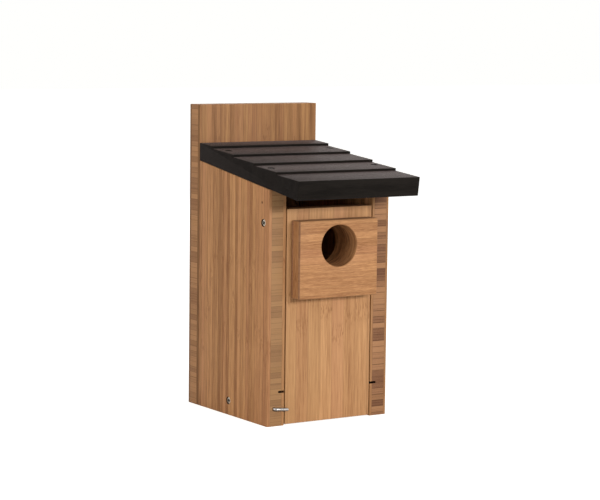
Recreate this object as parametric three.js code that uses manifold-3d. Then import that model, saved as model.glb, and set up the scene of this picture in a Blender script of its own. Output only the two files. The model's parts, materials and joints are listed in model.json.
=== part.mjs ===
// A front-opening nest box for small cavity-nesting birds, built from laminated bamboo board.
// Units are millimetres and +Z is up. X runs across the box and the front faces -Y.
// The origin lies on the surface the box stands on, under the middle of its overall footprint.

import * as THREE from 'three';
import { mergeVertices } from 'three/addons/utils/BufferGeometryUtils.js';
import Module from 'manifold-3d';

// ---------------------------------------------------------------- driving dimensions

const BOARD = 18;                      // thickness of the bamboo board
const HOUSE_WIDTH = 130;               // outside width, shared by the back, the box and the roof
const SIDE_DEPTH = 124;                // depth of a side panel, front edge to back panel
const BACK_HEIGHT = 285;               // height of the back panel, which stands up past the roof
const OVERALL_DEPTH = 190.4;           // rear face of the back panel to the front edge of the roof

const ROOF_SLOPE = THREE.MathUtils.degToRad(8.4);
const ROOF_REAR_HEIGHT = 233;          // height of the roof's underside at the back panel
const ROOF_THICKNESS = 17.5;
const STRIP_LENGTH = 37.7;             // length of one shingle-like strip milled into the roof
const STRIP_COUNT = 4;                 // whole strips; a part strip fills the rest at the back
const STRIP_DROP = 2.2;                // height of the step at the front end of each strip

const DOOR_THICKNESS = 20;
const DOOR_SIDE_GAP = 1;
const DOOR_BOTTOM = 1;
const DOOR_TOP = 196.3;
const PIVOT_HEIGHT = 184;              // height of the screws that the door swings on
const PIVOT_SETBACK = 9.6;             // distance of those screws behind the door's front face

const HOLE_DIAMETER = 38.1;            // one and a half inches, the bluebird entrance
const HOLE_SIDES = 64;
const HOLE_HEIGHT = 162.7;
const HOLE_OFFSET = 1.6;               // the hole is bored slightly right of the middle
const GUARD_WIDTH = 84;
const GUARD_HEIGHT = 70.5;
const GUARD_THICKNESS = 15;
const GUARD_CENTRE_HEIGHT = 151;
const GUARD_OFFSET = 0.8;

const LADDER_GROOVES = 5;              // saw grooves that give fledglings a foothold inside
const LADDER_TOP = 134;
const LADDER_PITCH = 12;
const GROOVE_HEIGHT = 2.5;
const GROOVE_DEPTH = 2;

const FLOOR_BOTTOM = 4.5;
const FLOOR_CORNER_CUT = 9;            // clipped corners that let water drain
const MESH_HEIGHT = 31.2;              // height of the middle of the wire mesh floor
const MESH_WIRE = 0.9;
const MESH_LAYER_STEP = 0.6;           // the lengthwise wires are welded on top of the crosswise ones
const MESH_PITCH = 12.7;
const MESH_CELLS = 8;
const KERF_HEIGHT = 2;                 // saw kerf in each side panel that the mesh slides in
const KERF_DEPTH = 6.4;

const HOOK_WIRE = 3;
const HOOK_HEIGHT = 16;
const HOOK_EDGE_DISTANCE = 7.2;        // shank to the outer face of the left side panel
const HOOK_ARM = 13.8;
const HOOK_SHANK = 22;
const HOOK_BEND = 2.4;
const HOOK_STANDOFF = 0.8;             // gap between the arm and the face of the door
const HOOK_DROOP = THREE.MathUtils.degToRad(5);
const HOOK_SIDES = 12;

const FIT_GAP = 0.3;                   // clearance wherever two pieces meet
const SCREW_SIDES = 20;
const SCREW_SHANK_RADIUS = 2;
const SCREW_HEAD_RADIUS = 3.5;
const SCREW_HEAD_DEPTH = 2.6;
const SCREW_HEAD_RIM = 0.4;
const SCREW_TIP = 5;
const RECESS_LENGTH = 3.8;             // cross recess in each screw head
const RECESS_WIDTH = 0.9;
const RECESS_DEPTH = 1.6;

const ROOF_SCREW_LENGTH = 38;
const ROOF_SCREW_FROM_STEP = 15;       // distance down a strip from the step above it
const BACK_SCREW_LENGTH = 40;
const BACK_SCREW_HEIGHTS = [50, 190];
const FLOOR_SCREW_LENGTH = 32;
const FLOOR_SCREW_DEPTH = 74;          // distance of the side floor screws from the rear face
const PIVOT_SCREW_LENGTH = 38;
const GUARD_SCREW_LENGTH = 30;
const GUARD_SCREW_SPACING = 64;

// ---------------------------------------------------------------- derived places

const HALF_WIDTH = HOUSE_WIDTH / 2;
const INNER_HALF = HALF_WIDTH - BOARD;
const SIDE_MIDDLE = HALF_WIDTH - BOARD / 2;
const BACK_FACE = OVERALL_DEPTH / 2;
const BACK_FRONT = BACK_FACE - BOARD;
const FRONT = BACK_FRONT - SIDE_DEPTH;
const DOOR_REAR = FRONT + DOOR_THICKNESS;
const GUARD_FRONT = FRONT - GUARD_THICKNESS;
const FLOOR_MIDDLE = FLOOR_BOTTOM + BOARD / 2;
const PIVOT_Y = FRONT + PIVOT_SETBACK;
const ROOF_LENGTH = (OVERALL_DEPTH - BOARD - ROOF_THICKNESS * Math.sin(ROOF_SLOPE)) / Math.cos(ROOF_SLOPE);
const OVERCUT = 5;                     // how far a cutting tool runs past the face it starts from

// ---------------------------------------------------------------- materials

function material(color, roughness, metalness) {
  return new THREE.MeshStandardMaterial({ color, roughness, metalness });
}

const bambooSide = material(0xa87c54, 0.6, 0);
const bambooFront = material(0xc39166, 0.6, 0);
const stainedRoof = material(0x3a3632, 0.55, 0);
const steel = material(0xb9b6ae, 0.35, 1);
const blackSteel = material(0x26241f, 0.5, 0.6);
const wire = material(0x9d9f9d, 0.45, 1);

// ---------------------------------------------------------------- solids

const wasm = await Module();
wasm.setup();

function toSolid(geometry) {
  const bare = geometry.clone();
  bare.deleteAttribute('normal');
  bare.deleteAttribute('uv');
  const merged = mergeVertices(bare, 1e-4);
  const corners = merged.index.array;
  const triangles = [];
  for (let i = 0; i < corners.length; i += 3) {
    const [a, b, c] = corners.slice(i, i + 3);
    if (a !== b && b !== c && c !== a) {
      triangles.push(a, b, c);
    }
  }
  return new wasm.Manifold(new wasm.Mesh({
    numProp: 3,
    vertProperties: new Float32Array(merged.attributes.position.array),
    triVerts: new Uint32Array(triangles),
  }));
}

function toGeometry(solid) {
  const mesh = solid.getMesh();
  const geometry = new THREE.BufferGeometry();
  geometry.setAttribute('position', new THREE.BufferAttribute(mesh.vertProperties, 3));
  geometry.setIndex(new THREE.BufferAttribute(mesh.triVerts, 1));
  geometry.computeVertexNormals();
  return geometry;
}

function block([xLow, xHigh], [yLow, yHigh], [zLow, zHigh]) {
  const geometry = new THREE.BoxGeometry(xHigh - xLow, yHigh - yLow, zHigh - zLow);
  geometry.translate((xLow + xHigh) / 2, (yLow + yHigh) / 2, (zLow + zHigh) / 2);
  return toSolid(geometry);
}

// Extrudes an outline, given as [y, z] points, along X.
function slab(outline, xLow, xHigh) {
  const shape = new THREE.Shape(outline.map(([y, z]) => new THREE.Vector2(y, z)));
  const geometry = new THREE.ExtrudeGeometry(shape, { depth: xHigh - xLow, bevelEnabled: false });
  geometry.applyMatrix4(new THREE.Matrix4().makeBasis(
    new THREE.Vector3(0, 1, 0),
    new THREE.Vector3(0, 0, 1),
    new THREE.Vector3(1, 0, 0),
  ));
  geometry.translate(xLow, 0, 0);
  return toSolid(geometry);
}

// Extrudes an outline, given as [x, y] points, along Z.
function plate(outline, zLow, zHigh) {
  const shape = new THREE.Shape(outline.map(([x, y]) => new THREE.Vector2(x, y)));
  const geometry = new THREE.ExtrudeGeometry(shape, { depth: zHigh - zLow, bevelEnabled: false });
  geometry.translate(0, 0, zLow);
  return toSolid(geometry);
}

// ---------------------------------------------------------------- fasteners

// A countersunk wood screw along Y, with the top of its head at y = 0. A clearance grows it on
// all sides, and a head run continues the head upwards, which makes the tool that cuts its hole.
function screwBody(length, clearance, headRun) {
  const shank = SCREW_SHANK_RADIUS + clearance;
  const head = SCREW_HEAD_RADIUS + clearance;
  const profile = [
    [0, -length - clearance],
    [shank, -length + SCREW_TIP],
    [shank, -SCREW_HEAD_DEPTH - clearance],
    [head, -SCREW_HEAD_RIM - clearance],
    [head, headRun],
    [0, headRun],
  ];
  const points = profile.map(([radius, height]) => new THREE.Vector2(radius, height));
  return toSolid(new THREE.LatheGeometry(points, SCREW_SIDES));
}

function crossRecess() {
  const half = RECESS_LENGTH / 2;
  const narrow = RECESS_WIDTH / 2;
  const along = block([-half, half], [-RECESS_DEPTH, OVERCUT], [-narrow, narrow]);
  const across = block([-narrow, narrow], [-RECESS_DEPTH, OVERCUT], [-half, half]);
  return along.add(across);
}

const fasteners = [];

// Sinks a screw whose head sits just below the surface at the given point. Facing is the
// direction that its head looks.
function addScrew(name, point, facing, length, finish) {
  const up = new THREE.Vector3(...facing).normalize();
  const turn = new THREE.Quaternion().setFromUnitVectors(new THREE.Vector3(0, 1, 0), up);
  const seat = new THREE.Vector3(...point).addScaledVector(up, -FIT_GAP);
  const cutter = toGeometry(screwBody(length, FIT_GAP, OVERCUT));
  cutter.applyMatrix4(new THREE.Matrix4().compose(seat, turn, new THREE.Vector3(1, 1, 1)));
  fasteners.push({
    name,
    seat,
    turn,
    finish,
    geometry: toGeometry(screwBody(length, 0, 0).subtract(crossRecess())),
    cutter: toSolid(cutter),
  });
}

// A point of the roof: distance down the slope from the back panel, and height above the
// underside, square to the slope.
function roofPoint(along, height) {
  const y = BACK_FRONT - along * Math.cos(ROOF_SLOPE) - height * Math.sin(ROOF_SLOPE);
  const z = ROOF_REAR_HEIGHT - along * Math.sin(ROOF_SLOPE) + height * Math.cos(ROOF_SLOPE);
  return [y, z];
}

function stripStart(index) {
  return ROOF_LENGTH - (STRIP_COUNT - index) * STRIP_LENGTH;
}

function addRoofScrews() {
  const rise = STRIP_DROP * ROOF_SCREW_FROM_STEP / STRIP_LENGTH;
  const surface = ROOF_THICKNESS - STRIP_DROP + rise;
  const rows = { rear: 0, front: 2 };
  for (const [row, strip] of Object.entries(rows)) {
    const [y, z] = roofPoint(stripStart(strip) + ROOF_SCREW_FROM_STEP, surface);
    const facing = [0, -Math.sin(ROOF_SLOPE), Math.cos(ROOF_SLOPE)];
    addScrew(`roof_screw_${row}_left`, [-SIDE_MIDDLE, y, z], facing, ROOF_SCREW_LENGTH, blackSteel);
    addScrew(`roof_screw_${row}_right`, [SIDE_MIDDLE, y, z], facing, ROOF_SCREW_LENGTH, blackSteel);
  }
}

function addBackScrews() {
  const levels = { lower: BACK_SCREW_HEIGHTS[0], upper: BACK_SCREW_HEIGHTS[1] };
  for (const [level, z] of Object.entries(levels)) {
    for (const [side, x] of Object.entries({ left: -SIDE_MIDDLE, right: SIDE_MIDDLE })) {
      const point = [x, BACK_FACE, z];
      addScrew(`back_screw_${level}_${side}`, point, [0, 1, 0], BACK_SCREW_LENGTH, steel);
    }
  }
  addScrew('floor_screw_back', [0, BACK_FACE, FLOOR_MIDDLE], [0, 1, 0], BACK_SCREW_LENGTH, steel);
}

function addSideScrews() {
  const floorY = BACK_FACE - FLOOR_SCREW_DEPTH;
  for (const [side, sign] of Object.entries({ left: -1, right: 1 })) {
    const face = sign * HALF_WIDTH;
    const outward = [sign, 0, 0];
    addScrew(`floor_screw_${side}`, [face, floorY, FLOOR_MIDDLE], outward, FLOOR_SCREW_LENGTH, steel);
    addScrew(`pivot_screw_${side}`, [face, PIVOT_Y, PIVOT_HEIGHT], outward, PIVOT_SCREW_LENGTH, steel);
  }
}

function addGuardScrews() {
  for (const [side, sign] of Object.entries({ left: -1, right: 1 })) {
    const point = [GUARD_OFFSET + sign * GUARD_SCREW_SPACING / 2, DOOR_REAR, GUARD_CENTRE_HEIGHT];
    addScrew(`guard_screw_${side}`, point, [0, 1, 0], GUARD_SCREW_LENGTH, steel);
  }
}

addRoofScrews();
addBackScrews();
addSideScrews();
addGuardScrews();

// ---------------------------------------------------------------- boards

function backPanel() {
  return block([-HALF_WIDTH, HALF_WIDTH], [BACK_FRONT, BACK_FACE], [0, BACK_HEIGHT]);
}

// A side panel follows the slope of the roof along its top edge. Its inner face carries the
// kerf for the mesh floor, sawn through from the front edge to the back panel.
function sidePanel(sign) {
  const rear = BACK_FRONT - FIT_GAP;
  const topEdge = (y) => {
    const run = BACK_FRONT - y;
    return ROOF_REAR_HEIGHT - run * Math.tan(ROOF_SLOPE) - FIT_GAP / Math.cos(ROOF_SLOPE);
  };
  const outline = [[FRONT, 0], [rear, 0], [rear, topEdge(rear)], [FRONT, topEdge(FRONT)]];
  const faces = [sign * INNER_HALF, sign * HALF_WIDTH].sort((a, b) => a - b);
  const kerfFloor = sign * (INNER_HALF + KERF_DEPTH);
  const kerf = [kerfFloor, sign * (INNER_HALF - OVERCUT)].sort((a, b) => a - b);
  const kerfLevel = [MESH_HEIGHT - KERF_HEIGHT / 2, MESH_HEIGHT + KERF_HEIGHT / 2];
  return slab(outline, faces[0], faces[1])
    .subtract(block(kerf, [FRONT - OVERCUT, BACK_FRONT + OVERCUT], kerfLevel));
}

// The floor lies between the side panels, with its corners clipped for drainage.
function floorBoard() {
  const x = INNER_HALF - FIT_GAP;
  const rear = BACK_FRONT - FIT_GAP;
  const front = DOOR_REAR + 2 * FIT_GAP;
  const cut = FLOOR_CORNER_CUT;
  const outline = [
    [-x + cut, front], [x - cut, front], [x, front + cut], [x, rear - cut],
    [x - cut, rear], [-x + cut, rear], [-x, rear - cut], [-x, front + cut],
  ];
  return plate(outline, FLOOR_BOTTOM, FLOOR_BOTTOM + BOARD);
}

// The wire floor is a square grid of welded wires, whose edges run in the kerfs.
function meshFloor() {
  const x = INNER_HALF + KERF_DEPTH - 2 * FIT_GAP;
  const rear = BACK_FRONT - 2 * FIT_GAP;
  const front = DOOR_REAR + 2 * FIT_GAP;
  const around = (middle) => [middle - MESH_WIRE / 2, middle + MESH_WIRE / 2];
  const lower = around(MESH_HEIGHT - MESH_LAYER_STEP / 2);
  const upper = around(MESH_HEIGHT + MESH_LAYER_STEP / 2);
  const wires = [];
  for (let index = 0; index <= MESH_CELLS; index += 1) {
    const offset = (index - MESH_CELLS / 2) * MESH_PITCH;
    wires.push(block([-x, x], around((front + rear) / 2 + offset), lower));
    wires.push(block(around(offset), [front, rear], upper));
  }
  return wires.reduce((grid, bar) => grid.add(bar));
}

function entranceTool() {
  const reach = DOOR_THICKNESS + GUARD_THICKNESS + 2 * OVERCUT;
  const geometry = new THREE.CylinderGeometry(HOLE_DIAMETER / 2, HOLE_DIAMETER / 2, reach, HOLE_SIDES);
  geometry.translate(HOLE_OFFSET, (GUARD_FRONT + DOOR_REAR) / 2, HOLE_HEIGHT);
  return toSolid(geometry);
}

// The door fills the front between the side panels and hangs on two pivot screws near its top.
function frontDoor() {
  const half = INNER_HALF - DOOR_SIDE_GAP;
  let door = block([-half, half], [FRONT, DOOR_REAR], [DOOR_BOTTOM, DOOR_TOP]).subtract(entranceTool());
  for (let index = 0; index < LADDER_GROOVES; index += 1) {
    const top = LADDER_TOP - index * LADDER_PITCH;
    const level = [top - GROOVE_HEIGHT, top];
    const depth = [DOOR_REAR - GROOVE_DEPTH, DOOR_REAR + OVERCUT];
    door = door.subtract(block([-INNER_HALF, INNER_HALF], depth, level));
  }
  return door;
}

// The guard thickens the wall round the entrance, so that a paw can't reach the nest.
function predatorGuard() {
  const sides = [GUARD_OFFSET - GUARD_WIDTH / 2, GUARD_OFFSET + GUARD_WIDTH / 2];
  const levels = [GUARD_CENTRE_HEIGHT - GUARD_HEIGHT / 2, GUARD_CENTRE_HEIGHT + GUARD_HEIGHT / 2];
  return block(sides, [GUARD_FRONT, FRONT - FIT_GAP], levels).subtract(entranceTool());
}

// The roof is one board whose top is milled into overlapping strips, each rising towards its
// front end. Its rear edge is cut plumb to meet the back panel.
function roof() {
  const low = ROOF_THICKNESS - STRIP_DROP;
  const outline = [
    [FIT_GAP / Math.cos(ROOF_SLOPE), 0],
    [ROOF_LENGTH, 0],
    [ROOF_LENGTH, ROOF_THICKNESS],
  ];
  for (let index = STRIP_COUNT - 1; index >= 0; index -= 1) {
    outline.push([stripStart(index), low], [stripStart(index), ROOF_THICKNESS]);
  }
  const rise = STRIP_DROP / STRIP_LENGTH;
  const startHeight = ROOF_THICKNESS - rise * stripStart(0);
  const rearAlong = (FIT_GAP - startHeight * Math.sin(ROOF_SLOPE))
    / (Math.cos(ROOF_SLOPE) + rise * Math.sin(ROOF_SLOPE));
  outline.push([rearAlong, startHeight + rise * rearAlong]);
  const section = outline.map(([along, height]) => roofPoint(along, height)).reverse();
  return slab(section, -HALF_WIDTH, HALF_WIDTH);
}

// ---------------------------------------------------------------- latch

// An L-shaped screw hook in the front edge of the left side panel. At rest its arm lies across
// the edge of the door, drooping slightly.
const hookAxis = new THREE.Vector3(-HALF_WIDTH + HOOK_EDGE_DISTANCE, FRONT, HOOK_HEIGHT);

function hookGeometry() {
  const armY = -HOOK_STANDOFF - HOOK_WIRE / 2;
  const route = new THREE.CurvePath();
  const shankEnd = new THREE.Vector3(0, HOOK_SHANK, 0);
  const bendStart = new THREE.Vector3(0, armY + HOOK_BEND, 0);
  const corner = new THREE.Vector3(0, armY, 0);
  const bendEnd = new THREE.Vector3(HOOK_BEND, armY, 0);
  const armEnd = new THREE.Vector3(HOOK_ARM, armY, 0);
  route.add(new THREE.LineCurve3(shankEnd, bendStart));
  route.add(new THREE.QuadraticBezierCurve3(bendStart, corner, bendEnd));
  route.add(new THREE.LineCurve3(bendEnd, armEnd));
  const section = new THREE.Shape();
  for (let index = 0; index < HOOK_SIDES; index += 1) {
    const angle = 2 * Math.PI * index / HOOK_SIDES;
    const x = Math.cos(angle) * HOOK_WIRE / 2;
    const y = Math.sin(angle) * HOOK_WIRE / 2;
    if (index === 0) {
      section.moveTo(x, y);
    } else {
      section.lineTo(x, y);
    }
  }
  section.closePath();
  return new THREE.ExtrudeGeometry(section, { steps: 26, extrudePath: route, bevelEnabled: false });
}

function hookBore() {
  const reach = HOOK_SHANK + FIT_GAP + OVERCUT;
  const radius = HOOK_WIRE / 2 + FIT_GAP;
  const geometry = new THREE.CylinderGeometry(radius, radius, reach, SCREW_SIDES);
  geometry.translate(hookAxis.x, FRONT + HOOK_SHANK + FIT_GAP - reach / 2, HOOK_HEIGHT);
  return toSolid(geometry);
}

// ---------------------------------------------------------------- assembly

const birdhouse = new THREE.Group();

function addPiece(name, geometry, finish) {
  const mesh = new THREE.Mesh(geometry, finish);
  mesh.name = name;
  birdhouse.add(mesh);
  return mesh;
}

// A board loses the holes of every screw that passes through it.
function drilled(solid) {
  return fasteners.reduce((board, fastener) => board.subtract(fastener.cutter), solid);
}

addPiece('back_panel', toGeometry(drilled(backPanel())), bambooSide);
addPiece('left_side', toGeometry(drilled(sidePanel(-1)).subtract(hookBore())), bambooSide);
addPiece('right_side', toGeometry(drilled(sidePanel(1))), bambooSide);
addPiece('floor_board', toGeometry(drilled(floorBoard())), bambooSide);
addPiece('mesh_floor', toGeometry(meshFloor()), wire);
addPiece('roof_panel', toGeometry(drilled(roof())), stainedRoof);
addPiece('front_door', toGeometry(drilled(frontDoor())), bambooFront);
addPiece('predator_guard', toGeometry(drilled(predatorGuard())), bambooFront);

for (const fastener of fasteners) {
  const mesh = addPiece(fastener.name, fastener.geometry, fastener.finish);
  mesh.position.copy(fastener.seat);
  mesh.quaternion.copy(fastener.turn);
}

const hook = addPiece('latch_hook', hookGeometry(), wire);
hook.position.copy(hookAxis);
hook.rotation.y = HOOK_DROOP;

export default birdhouse;
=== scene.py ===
"""The looks of a front-opening bamboo nest box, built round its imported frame.

Everything is in metres, +Z is up and the front faces -Y. Each board, screw, wire and hook is made
here as a finished mesh in the place its frame node gives, and stands for that node.
"""

import json
import math

import bmesh
import bpy
from mathutils import Matrix, Vector


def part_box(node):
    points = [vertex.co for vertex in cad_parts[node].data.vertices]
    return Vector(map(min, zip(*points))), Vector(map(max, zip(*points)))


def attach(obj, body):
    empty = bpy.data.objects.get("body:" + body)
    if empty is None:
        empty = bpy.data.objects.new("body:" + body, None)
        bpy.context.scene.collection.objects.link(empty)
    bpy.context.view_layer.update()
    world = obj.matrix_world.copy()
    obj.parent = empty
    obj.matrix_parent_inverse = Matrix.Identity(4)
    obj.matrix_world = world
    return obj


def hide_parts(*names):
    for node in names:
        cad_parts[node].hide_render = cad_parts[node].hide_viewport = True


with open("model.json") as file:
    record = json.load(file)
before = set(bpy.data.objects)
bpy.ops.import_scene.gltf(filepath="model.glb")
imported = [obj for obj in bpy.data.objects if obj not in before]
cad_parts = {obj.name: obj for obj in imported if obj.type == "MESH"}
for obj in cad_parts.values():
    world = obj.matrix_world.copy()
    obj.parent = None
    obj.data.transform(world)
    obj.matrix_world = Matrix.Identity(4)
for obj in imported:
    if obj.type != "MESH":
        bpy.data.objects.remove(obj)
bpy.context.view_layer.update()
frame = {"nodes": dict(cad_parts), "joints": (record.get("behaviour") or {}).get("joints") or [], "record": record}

MM = 0.001
AXES = "XYZ"

# ---------------------------------------------------------------- sizes

ROOF_SLOPE = math.radians(8.4)
ROOF_THICKNESS = 17.5 * MM
STRIP_LENGTH = 37.7 * MM
STRIP_COUNT = 4
STRIP_DROP = 2.2 * MM

# How far a cutter runs past the face it opens.
CUT_PAST = 5 * MM
EASED_EDGE = 0.4 * MM
EASE_SEGMENTS = 3
# A face at least this wide, for its length, is shaded flat. Narrower ones belong to rounds.
FLAT_FACE_WIDTH = 1.5 * MM
HOLE_EASE = 0.9 * MM
HOLE_RADIUS = 19.05 * MM
HOLE_SIDES = 96

KERF_HEIGHT = 2.0 * MM
KERF_DEPTH = 6.4 * MM
GROOVE_COUNT = 5
GROOVE_TOP = 134 * MM
GROOVE_PITCH = 12 * MM
GROOVE_HEIGHT = 2.5 * MM
GROOVE_DEPTH = 2 * MM
FLOOR_CORNER_CUT = 9 * MM

SCREW_SIDES = 40
SCREW_CLEARANCE = 0.25 * MM
SCREW_SUNK = 0.40 * MM
CAD_HEAD_DEPTH = 0.3 * MM
COUNTERSINK_FLARE = 0.38 * MM
SCREW_HEAD_RADIUS = 2.95 * MM
SCREW_HEAD_DEPTH = 2.6 * MM
SCREW_HEAD_RIM = 0.4 * MM
SCREW_ROOT_RADIUS = 1.45 * MM
SCREW_CREST_RADIUS = 1.95 * MM
SCREW_THREAD_PITCH = 1.9 * MM
SCREW_TIP = 5 * MM
SCREW_SMOOTH_SHANK = 0.3
RECESS_REACH = 2.1 * MM
RECESS_WIDTH = 1.7 * MM
RECESS_DEPTH = 1.7 * MM

HOOK_WIRE = 3 * MM
HOOK_ARM = 13.8 * MM
HOOK_SHANK = 22 * MM
HOOK_BEND = 2.4 * MM
HOOK_STANDOFF = 0.8 * MM
HOOK_DROOP = math.radians(5)
HOOK_SIDES = 24

MESH_WIRE = 0.9 * MM
MESH_PITCH = 12.7 * MM
MESH_CELLS = 8
MESH_WIRE_SIDES = 10

# ---------------------------------------------------------------- camera, light and floor

VIEW_AZIMUTH = math.radians(-32.93)
VIEW_ELEVATION = math.radians(6.37)
VIEW_ROLL = math.radians(0.70)
VIEW_DISTANCE = 1.916
VIEW_TARGET = Vector((0.0083, 0.0152, 0.1507))
VIEW_LENS_MM = 122.8

STAGE_WHITE = (1.0, 1.0, 0.985, 1)
AMBIENT = 0.36
FLOOR_GLOW = 0.75
FLOOR_CAST = 0.05


def add_camera():
    level = math.cos(VIEW_ELEVATION)
    back = Vector((
        math.sin(VIEW_AZIMUTH) * level,
        -math.cos(VIEW_AZIMUTH) * level,
        math.sin(VIEW_ELEVATION),
    ))
    right = Vector((math.cos(VIEW_AZIMUTH), math.sin(VIEW_AZIMUTH), 0))
    up = back.cross(right)
    rolled_right = right * math.cos(VIEW_ROLL) + up * math.sin(VIEW_ROLL)
    rolled_up = up * math.cos(VIEW_ROLL) - right * math.sin(VIEW_ROLL)
    turn = Matrix((rolled_right, rolled_up, back)).transposed().to_4x4()
    data = bpy.data.cameras.new("photo_camera")
    data.sensor_fit = "HORIZONTAL"
    data.sensor_width = 36
    data.lens = VIEW_LENS_MM
    data.clip_end = 50
    camera = bpy.data.objects.new("photo_camera", data)
    camera.matrix_world = Matrix.Translation(VIEW_TARGET + back * VIEW_DISTANCE) @ turn
    bpy.context.scene.collection.objects.link(camera)
    bpy.context.scene.camera = camera


def add_softbox(name, azimuth, elevation, distance, width, height, power, colour):
    """A softbox that looks at the middle of the box. Azimuth 0 is straight in front of it."""
    aim = Vector((0, 0, 0.14))
    data = bpy.data.lights.new(name, "AREA")
    data.shape = "RECTANGLE"
    data.size = width
    data.size_y = height
    data.energy = power
    data.color = colour
    light = bpy.data.objects.new(name, data)
    turn = math.radians(azimuth)
    rise = math.radians(elevation)
    away = Vector((math.sin(turn) * math.cos(rise), -math.cos(turn) * math.cos(rise), math.sin(rise)))
    light.location = aim + away * distance
    light.rotation_euler = away.to_track_quat("Z", "Y").to_euler()
    light.visible_camera = False
    bpy.context.scene.collection.objects.link(light)


def staged_strength(tree, socket, seen, cast, rays_that_see):
    """A stage glows at one strength for the rays that see it, and lights the object at another."""
    rays = tree.nodes.new("ShaderNodeLightPath")
    sees = rays.outputs[rays_that_see[0]]
    for other in rays_that_see[1:]:
        either = tree.nodes.new("ShaderNodeMath")
        either.operation = "MAXIMUM"
        tree.links.new(sees, either.inputs[0])
        tree.links.new(rays.outputs[other], either.inputs[1])
        sees = either.outputs[0]
    strength = tree.nodes.new("ShaderNodeMapRange")
    strength.inputs["To Min"].default_value = cast
    strength.inputs["To Max"].default_value = seen
    tree.links.new(sees, strength.inputs["Value"])
    tree.links.new(strength.outputs[0], socket)


def add_world():
    """A white backdrop, seen directly and in reflections, that lights the object more softly."""
    world = bpy.data.worlds.new("studio")
    world.use_nodes = True
    background = world.node_tree.nodes["Background"]
    background.inputs["Color"].default_value = STAGE_WHITE
    strength = background.inputs["Strength"]
    staged_strength(world.node_tree, strength, 1.0, AMBIENT, ["Is Camera Ray", "Is Glossy Ray"])
    bpy.context.scene.world = world


def add_floor():
    """A sheet of opal white, lit from below as product tables are."""
    mesh = bpy.data.meshes.new("floor")
    reach = 8
    corners = [(-reach, -reach, 0), (reach, -reach, 0), (reach, reach, 0), (-reach, reach, 0)]
    mesh.from_pydata(corners, [], [(0, 1, 2, 3)])
    floor = bpy.data.objects.new("floor", mesh)
    bpy.context.scene.collection.objects.link(floor)
    material = bpy.data.materials.new("pale_floor")
    material.use_nodes = True
    surface = material.node_tree.nodes["Principled BSDF"]
    surface.inputs["Base Color"].default_value = (0.80, 0.80, 0.79, 1)
    surface.inputs["Roughness"].default_value = 0.9
    surface.inputs["Specular IOR Level"].default_value = 0.1
    surface.inputs["Emission Color"].default_value = STAGE_WHITE
    strength = surface.inputs["Emission Strength"]
    staged_strength(material.node_tree, strength, FLOOR_GLOW, FLOOR_CAST, ["Is Camera Ray"])
    mesh.materials.append(material)


# ---------------------------------------------------------------- shader helpers


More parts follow.
